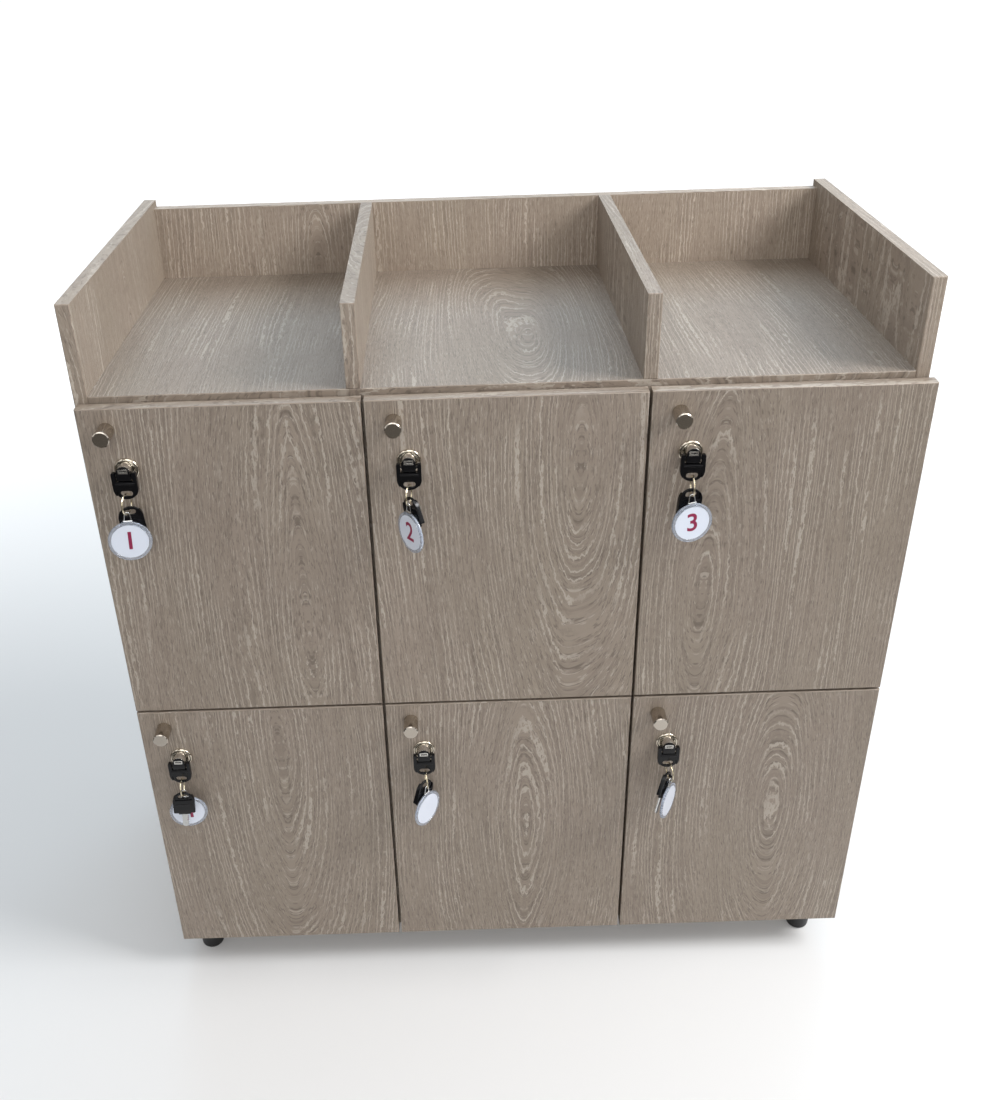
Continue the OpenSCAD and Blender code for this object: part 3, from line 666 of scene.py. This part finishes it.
for door in DOORS:
    bm = bmesh.new()
    bow_shape(bm, True)
    rod(bm, "X", PIN_R, -BOW_W / 2 + PIN_IN, BOW_W / 2 - PIN_IN, 32)
    place = Matrix.Translation(lock_axis(door) - Vector((0, BOW_OUT, 0)))
    rides = "bow_%d" % door
    bow = finished("folding_bow_%d" % door, bm, bow_plastic, rides, place)
    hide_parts("key_bow_%d" % door)


# Cam locks: a rosette with a stepped rim, turned from nickel-plated brass, its threaded
# barrel through the door and a hexagon nut behind. The plug inside carries the cam.
ROSETTE_R = 0.0135
BARREL_R = 0.009
PLUG_R = 0.0064
NUT_R = 0.012702
NUT_T = 0.004
BARREL_OUT = 0.0066
CAM_Y = 0.0072
CAM_LEN = 0.027
CAM_T = 0.0025
CAM_ROOT_R = 0.008
CAM_TIP_R = 0.0055
SCREW_R = 0.0046
SCREW_T = 0.0024
HEAD_BACK = 0.003


def turned(bm, profile, steps):
    """Spins a profile of (radius, y) points about the Y axis."""
    corners = [bm.verts.new((radius, y, 0)) for radius, y in profile]
    edges = [bm.edges.new(pair) for pair in zip(corners, corners[1:])]
    bmesh.ops.spin(
        bm, geom=corners + edges, cent=(0, 0, 0), axis=(0, 1, 0), angle=2 * pi, steps=steps,
        use_merge=True,
    )
    bmesh.ops.remove_doubles(bm, verts=bm.verts[:], dist=0.000004)
    bmesh.ops.recalc_face_normals(bm, faces=bm.faces[:])


for door in DOORS:
    low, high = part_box("door_panel_%d" % door)
    depth = high[1] - low[1]
    place = Matrix.Translation(lock_axis(door))

    bm = bmesh.new()
    bore = PLUG_R + 0.00005
    lip = [(bore, -0.0012), (0.0078, -0.0012), (0.0083, -0.0015), (0.0090, -0.0021)]
    lip += [(0.0096, -0.0022), (0.0100, -0.0019), (0.0103, -0.0018), (0.0106, -0.0021)]
    lip += [(0.0111, -0.0024), (0.0118, -0.0025), (0.0126, -0.0022), (0.0132, -0.0016)]
    lip += [(ROSETTE_R, -0.0009), (ROSETTE_R, 0), (BARREL_R, 0)]
    lip += [(BARREL_R, depth + BARREL_OUT - 0.0003), (BARREL_R - 0.0003, depth + BARREL_OUT)]
    lip += [(bore, depth + BARREL_OUT), (bore, -0.0012)]
    turned(bm, lip, 64)
    rides = "door_%d" % door
    rosette = finished("rosette_%d" % door, bm, rosette_nickel, rides, place)
    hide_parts("cam_lock_%d" % door)

    bm = bmesh.new()
    hexagon = arc((0, 0), NUT_R, 0, 300, 5)
    inside = arc((0, 0), BARREL_R - 0.0002, 0, 352.5, 47)
    plate(bm, hexagon, [inside], NUT_T, 0.0004, depth + NUT_T / 2)
    finished("lock_nut_%d" % door, bm, bright_nickel, rides, place)

    bm = bmesh.new()
    rod(bm, "Y", PLUG_R, -HEAD_BACK, depth + CAM_Y, 64)
    reach = CAM_LEN - CAM_TIP_R
    cam_turn = degrees(atan2(CAM_ROOT_R - CAM_TIP_R, reach))
    cam = arc((0, 0), CAM_ROOT_R, 180 - cam_turn, 360 + cam_turn, 24)
    cam += arc((0, reach), CAM_TIP_R, cam_turn, 180 - cam_turn, 16)
    cam = [(x, -z) for x, z in reversed(cam)]
    plate(bm, cam, [], CAM_T, 0.0003, depth + CAM_Y + CAM_T / 2)
    end = depth + CAM_Y + CAM_T
    rod(bm, "Y", SCREW_R, end - 0.0001, end + SCREW_T, 6)
    rides = "plug_%d" % door
    plug = finished("lock_plug_cam_%d" % door, bm, bright_nickel, rides, place)
    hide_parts("lock_plug_%d" % door)


# Key heads: the nickel stem of the key in the lock is arched on top. A cap on it holds the
# pin of the folding bow and is black as painted shade, for the dark arch round the insert; a
# nickel insert shows in the cap.
HEAD_W = 0.015
CAP_T = 0.0026
CAP_LOW = -0.0048
STEM_LOW = -0.0042
HEAD_FRONT = BOW_OUT + CAP_T
ARCH_Z = 0.0035
BARREL_END = 0.0055
INSERT_W = 0.0104
INSERT_H = 0.005
INSERT_Z = 0.0033
INSERT_T = 0.0012
INSERT_MIDDLE = 0.0009
SLIT_LOW = 0.0051
SLIT_TOP = 0.0066
SLIT_IN = 0.0014

for door in DOORS:
    rides = "plug_%d" % door
    place = Matrix.Translation(lock_axis(door))
    half = HEAD_W / 2

    bm = bmesh.new()
    arch = arc((0, ARCH_Z), half, 0, 180, 24)
    lower = [(-half, STEM_LOW), (half, STEM_LOW)]
    deep = BOW_OUT - HEAD_BACK
    plate(bm, arch + lower, [], deep, 0.0005, -HEAD_BACK - deep / 2)
    finished("key_stem_%d" % door, bm, insert_nickel, rides, place)

    bm = bmesh.new()
    face_low = [(-half, CAP_LOW), (half, CAP_LOW)]
    window = [(-INSERT_W / 2, INSERT_Z), (-INSERT_W / 2, INSERT_Z + INSERT_H)]
    window += [(INSERT_W / 2, INSERT_Z + INSERT_H), (INSERT_W / 2, INSERT_Z)]
    plate(bm, arch + face_low, [window], CAP_T, 0.0004, -HEAD_FRONT + CAP_T / 2)
    rod(bm, "X", BARREL_END - 0.00005, -half, half, 48, (-BOW_OUT, 0))
    bmesh.ops.bisect_plane(
        bm, geom=bm.verts[:] + bm.edges[:] + bm.faces[:], plane_co=(0, -HEAD_FRONT, 0),
        plane_no=(0, -1, 0), clear_outer=True,
    )
    # the black bow plastic on the key head is painted shade, the dark arch round the insert
    finished("key_head_%d" % door, bm, bow_plastic, rides, place)

    bm = bmesh.new()
    outline = [(-INSERT_W / 2, INSERT_Z), (INSERT_W / 2, INSERT_Z)]
    outline += [(INSERT_W / 2, INSERT_Z + INSERT_H), (-INSERT_W / 2, INSERT_Z + INSERT_H)]
    slit_w = INSERT_W / 2 - SLIT_IN
    slit = [(-slit_w, SLIT_LOW), (slit_w, SLIT_LOW), (slit_w, SLIT_TOP), (-slit_w, SLIT_TOP)]
    plate(bm, outline, [slit], INSERT_T, 0.0002, -HEAD_FRONT + INSERT_MIDDLE)
    finished("key_insert_%d" % door, bm, insert_nickel, rides, place)


# Split rings: spring wire wound in two close turns, plated pale gold. Each hangs in the
# slot of its bow and leans outwards, because the keys on it rest against the door.
RING_R = 0.0115
WIRE_R = 0.0008
RING_TURN = (-10, -12, 0, 4, 10, 14)
RING_LEAN = (30, 34, 32, 32, 34, 34)
TAG_TURN = (10, -56, 14, 6, 52, 58)
TAG_ROLL = (3, -4, -4, -3, 2, 3)
KEY_TURN = (13, -53, 12, 6, 48, 55)
KEY_ROLL = (-4, -26, 4, 3, 24, 36)
KEY_IN_FRONT = (4,)
SIDE_GAP = 0.0038
RING_STEPS = 72
RING_SHARE = 0.985
RING_START = 200

ring_gold = plated("ring_gold", (0.86, 0.79, 0.62, 1), 0.2, (1200, 1200, 1200), 0.04)


def ring_out(door):
    """The way a ring faces, level with the ground."""
    turn = radians(RING_TURN[door - 1])
    return Vector((sin(turn), -cos(turn), 0))


def ring_middle(door):
    """Middle of a ring that hangs in its slot and leans outwards."""
    lean = radians(RING_LEAN[door - 1])
    hole = lock_axis(door) + Vector((0, -BOW_OUT, -SLOT_DROP))
    return hole + RING_R * (sin(lean) * ring_out(door) - cos(lean) * Vector((0, 0, 1)))


for door in DOORS:
    bm = bmesh.new()
    wire = bmesh.ops.create_circle(bm, cap_ends=False, segments=14, radius=WIRE_R * 0.5)
    section = wire["verts"]
    bmesh.ops.rotate(bm, verts=section, matrix=Matrix.Rotation(pi / 2, 3, "X"))
    bmesh.ops.scale(bm, verts=section, vec=(1.5, 1, 1))
    bmesh.ops.translate(bm, verts=section, vec=(RING_R, 0, -WIRE_R * 0.5))
    bmesh.ops.spin(
        bm, geom=section + bm.edges[:], cent=(0, 0, 0), axis=(0, 0, 1),
        dvec=(0, 0, WIRE_R / RING_STEPS), angle=4 * pi * RING_SHARE, steps=2 * RING_STEPS,
        use_merge=False,
    )
    bmesh.ops.holes_fill(bm, edges=[e for e in bm.edges if e.is_boundary], sides=20)
    bmesh.ops.recalc_face_normals(bm, faces=bm.faces[:])
    stand = Matrix.Rotation(radians(RING_TURN[door - 1]), 4, "Z") @ Matrix.Rotation(pi / 2, 4, "Y")
    stand = stand @ Matrix.Rotation(radians(RING_START), 4, "Z")
    place = Matrix.Translation(ring_middle(door)) @ stand
    ring = finished("split_ring_%d" % door, bm, ring_gold, "bunch_%d" % door, place)
    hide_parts("key_bunch_%d" % door)


# Round tags: a thick clear disc with a white card in its face and the number of the
# locker on the card. A wire eyelet with splayed legs holds the tag on the ring.
TAG_R = 0.0235
CARD_R = 0.0198
TAG_T = 0.0032
EYE_R = 0.0029
EYE_WIRE = 0.0006
EYE_H = 0.007
EYE_FOOT = 0.004
EYE_DROP = 0.0012
PLAY = 0.0005
CARD_FACE = 0.0013
NUMBER_OUT = 0.00135
NUMBER_SIZE = 0.030
NUMBER_BOLD = 0.0004
NUMBER_T = 0.00006
NUMBER_BEHIND = (5, 6)


def rise(offset, half, turn, door):
    """How far the ring has risen where it leaves a plate turned against it."""
    across = cos(radians(RING_TURN[door - 1] - turn))
    reach = offset + (half + WIRE_R) / across
    return RING_R - (RING_R * RING_R - reach * reach) ** 0.5


def clear_plastic(name):
    """Clear moulded plastic with slight waves in its face."""
    material, node, link = new_material(name)
    out = node("OutputMaterial")
    shell = node("BsdfPrincipled")
    shell.inputs["Base Color"].default_value = (0.70, 0.75, 0.84, 1)
    shell.inputs["Transmission Weight"].default_value = 0.75
    shell.inputs["Roughness"].default_value = 0.08
    shell.inputs["IOR"].default_value = 1.45
    coords = node("TexCoord")
    wave = node("TexNoise")
    wave.inputs["Scale"].default_value = 300
    bump = node("Bump")
    bump.inputs["Strength"].default_value = 0.1
    bump.inputs["Distance"].default_value = 0.00004
    link(coords.outputs["Object"], wave.inputs["Vector"])
    link(wave.outputs["Fac"], bump.inputs["Height"])
    link(bump.outputs[0], shell.inputs["Normal"])
    link(shell.outputs[0], out.inputs["Surface"])
    return material


tag_clear = clear_plastic("tag_clear")
tag_card = moulded("tag_card", (0.66, 0.70, 0.79, 1), 0.35, 1800.0, 0.00001, coat=0.6)
tag_ink = moulded("tag_ink", (0.25, 0.012, 0.06, 1), 0.4, 2000.0, 0.00001)


def hang_place(door, part_side, turn, roll):
    """Where a thing hangs on the ring: front or rear, turned and rolled as it lies."""
    front = -1 if door in KEY_IN_FRONT else 1
    foot = ring_middle(door) - Vector((0, 0, RING_R))
    foot += ring_out(door) * SIDE_GAP * front * part_side
    turned_to = Matrix.Rotation(radians(turn), 4, "Z") @ Matrix.Rotation(radians(roll), 4, "Y")
    return Matrix.Translation(foot) @ turned_to


for door in DOORS:
    rides = "bunch_%d" % door
    turn = TAG_TURN[door - 1]
    eye_z = rise(SIDE_GAP, EYE_WIRE, turn, door) + WIRE_R + PLAY - (EYE_R - EYE_WIRE)
    tag_z = eye_z - EYE_H - EYE_DROP - TAG_R
    hang = hang_place(door, 1, turn, TAG_ROLL[door - 1])
    disc_place = hang @ Matrix.Translation((0, 0, tag_z))

    bm = bmesh.new()
    rim = [(CARD_R, 0.0011), (CARD_R + 0.0004, TAG_T / 2), (TAG_R - 0.0010, TAG_T / 2)]
    rim += [(TAG_R - 0.0004, TAG_T / 2 - 0.0003), (TAG_R - 0.0001, TAG_T / 2 - 0.0009), (TAG_R, 0)]
    rim = rim + [(r, -y) for r, y in reversed(rim[:-1])]
    turned(bm, rim + rim[:1], 72)
    rim_piece = finished("tag_rim_%d" % door, bm, tag_clear, rides, disc_place)
    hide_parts("key_bunch_%d" % door)

    bm = bmesh.new()
    card = [(0, -CARD_FACE), (CARD_R, -CARD_FACE), (CARD_R, CARD_FACE), (0, CARD_FACE)]
    turned(bm, card, 72)
    finished("tag_card_%d" % door, bm, tag_card, rides, disc_place)

    curve = bpy.data.curves.new("number", "FONT")
    curve.body = str(door)
    curve.size = NUMBER_SIZE
    curve.offset = NUMBER_BOLD
    curve.align_x = "CENTER"
    curve.align_y = "CENTER"
    curve.extrude = NUMBER_T
    letters = bpy.data.objects.new("number", curve)
    bm = bmesh.new()
    bm.from_mesh(letters.to_mesh())
    upright = Matrix.Translation((0, -NUMBER_OUT, 0)) @ Matrix.Rotation(pi / 2, 4, "X")
    if door in NUMBER_BEHIND:
        upright = Matrix.Rotation(pi, 4, "Z") @ upright
    bpy.data.objects.remove(letters)
    finished("tag_number_%d" % door, bm, tag_ink, rides, disc_place @ upright, False)

    bm = bmesh.new()
    bend = bmesh.ops.create_circle(bm, cap_ends=False, segments=12, radius=EYE_WIRE)["verts"]
    bmesh.ops.translate(bm, verts=bend, vec=(EYE_R, 0, 0))
    bmesh.ops.spin(
        bm, geom=bend + bm.edges[:], cent=(0, 0, 0), axis=(0, -1, 0), angle=pi, steps=24,
        use_merge=False,
    )
    splay = atan2(EYE_FOOT - EYE_R, EYE_H)
    for leg_side in (-1, 1):
        leg = bmesh.ops.create_cone(
            bm, cap_ends=True, segments=12, radius1=EYE_WIRE, radius2=EYE_WIRE,
            depth=EYE_H / cos(splay),
        )["verts"]
        bmesh.ops.rotate(bm, verts=leg, matrix=Matrix.Rotation(-leg_side * splay, 3, "Y"))
        bmesh.ops.translate(bm, verts=leg, vec=(leg_side * (EYE_R + EYE_FOOT) / 2, 0, -EYE_H / 2))
    rod(bm, "X", 0.0012, -EYE_FOOT - 0.0007, EYE_FOOT + 0.0007, 20, (0, -EYE_H - 0.0006))
    bmesh.ops.recalc_face_normals(bm, faces=bm.faces[:])
    eye_place = hang @ Matrix.Translation((0, 0, eye_z))
    finished("tag_eyelet_%d" % door, bm, eyelet_steel, rides, eye_place)


# Spare keys: the same black bow, hung by its slot on the ring with its steel blade down.
# The blade is punched from strip, with cuts along one edge.
SPARE_W = 0.015
BLADE_W = 0.008
BLADE_T = 0.0022
BLADE_LEN = 0.020
CUTS = 5
CUT_PITCH = 0.0032
CUT_LEAST = 0.0011
CUT_STEP = 0.0005
COLLAR_T = 0.0032
COLLAR_H = 0.005

for door in DOORS:
    rides = "bunch_%d" % door
    turn = KEY_TURN[door - 1]
    top = rise(SIDE_GAP, SLOT_T / 2, turn, door) + WIRE_R + PLAY
    hang = hang_place(door, -1, turn, KEY_ROLL[door - 1])
    hang = hang @ Matrix.Translation((0, 0, top - SLOT_H / 2))

    bm = bmesh.new()
    bow_shape(bm, False)
    flip = Matrix.Rotation(pi, 4, "Y" if door in KEY_IN_FRONT else "X")
    flip = Matrix.Translation((0, 0, -SLOT_DROP)) @ flip
    spare = finished("spare_bow_%d" % door, bm, bow_plastic, rides, hang @ flip)
    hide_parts("key_bunch_%d" % door)

    end_z = -SLOT_DROP - HORN_LEN
    tip = end_z - 0.003 - BLADE_LEN
    bm = bmesh.new()
    half = BLADE_W / 2
    outline = [(-half, end_z + 0.001), (-half, tip + 0.002)]
    outline += [(-half + 0.0025, tip), (half - 0.0035, tip)]
    for cut in range(CUTS):
        cut_z = tip + 0.002 + cut * CUT_PITCH
        depth = CUT_LEAST + CUT_STEP * ((cut * 2 + door) % 3)
        outline += [(half - 0.0002, cut_z), (half - depth, cut_z + 0.0012)]
        outline += [(half - depth, cut_z + 0.0020)]
    outline += [(half, end_z - 0.002), (half, end_z + 0.001)]
    plate(bm, outline, [], BLADE_T, 0.00015)
    finished("spare_blade_%d" % door, bm, hinge_steel, rides, hang)

    bm = bmesh.new()
    block(bm, (SPARE_W, COLLAR_T, COLLAR_H), (0, 0, end_z - 0.0005), 0.0006)
    finished("spare_collar_%d" % door, bm, bow_plastic, rides, hang)
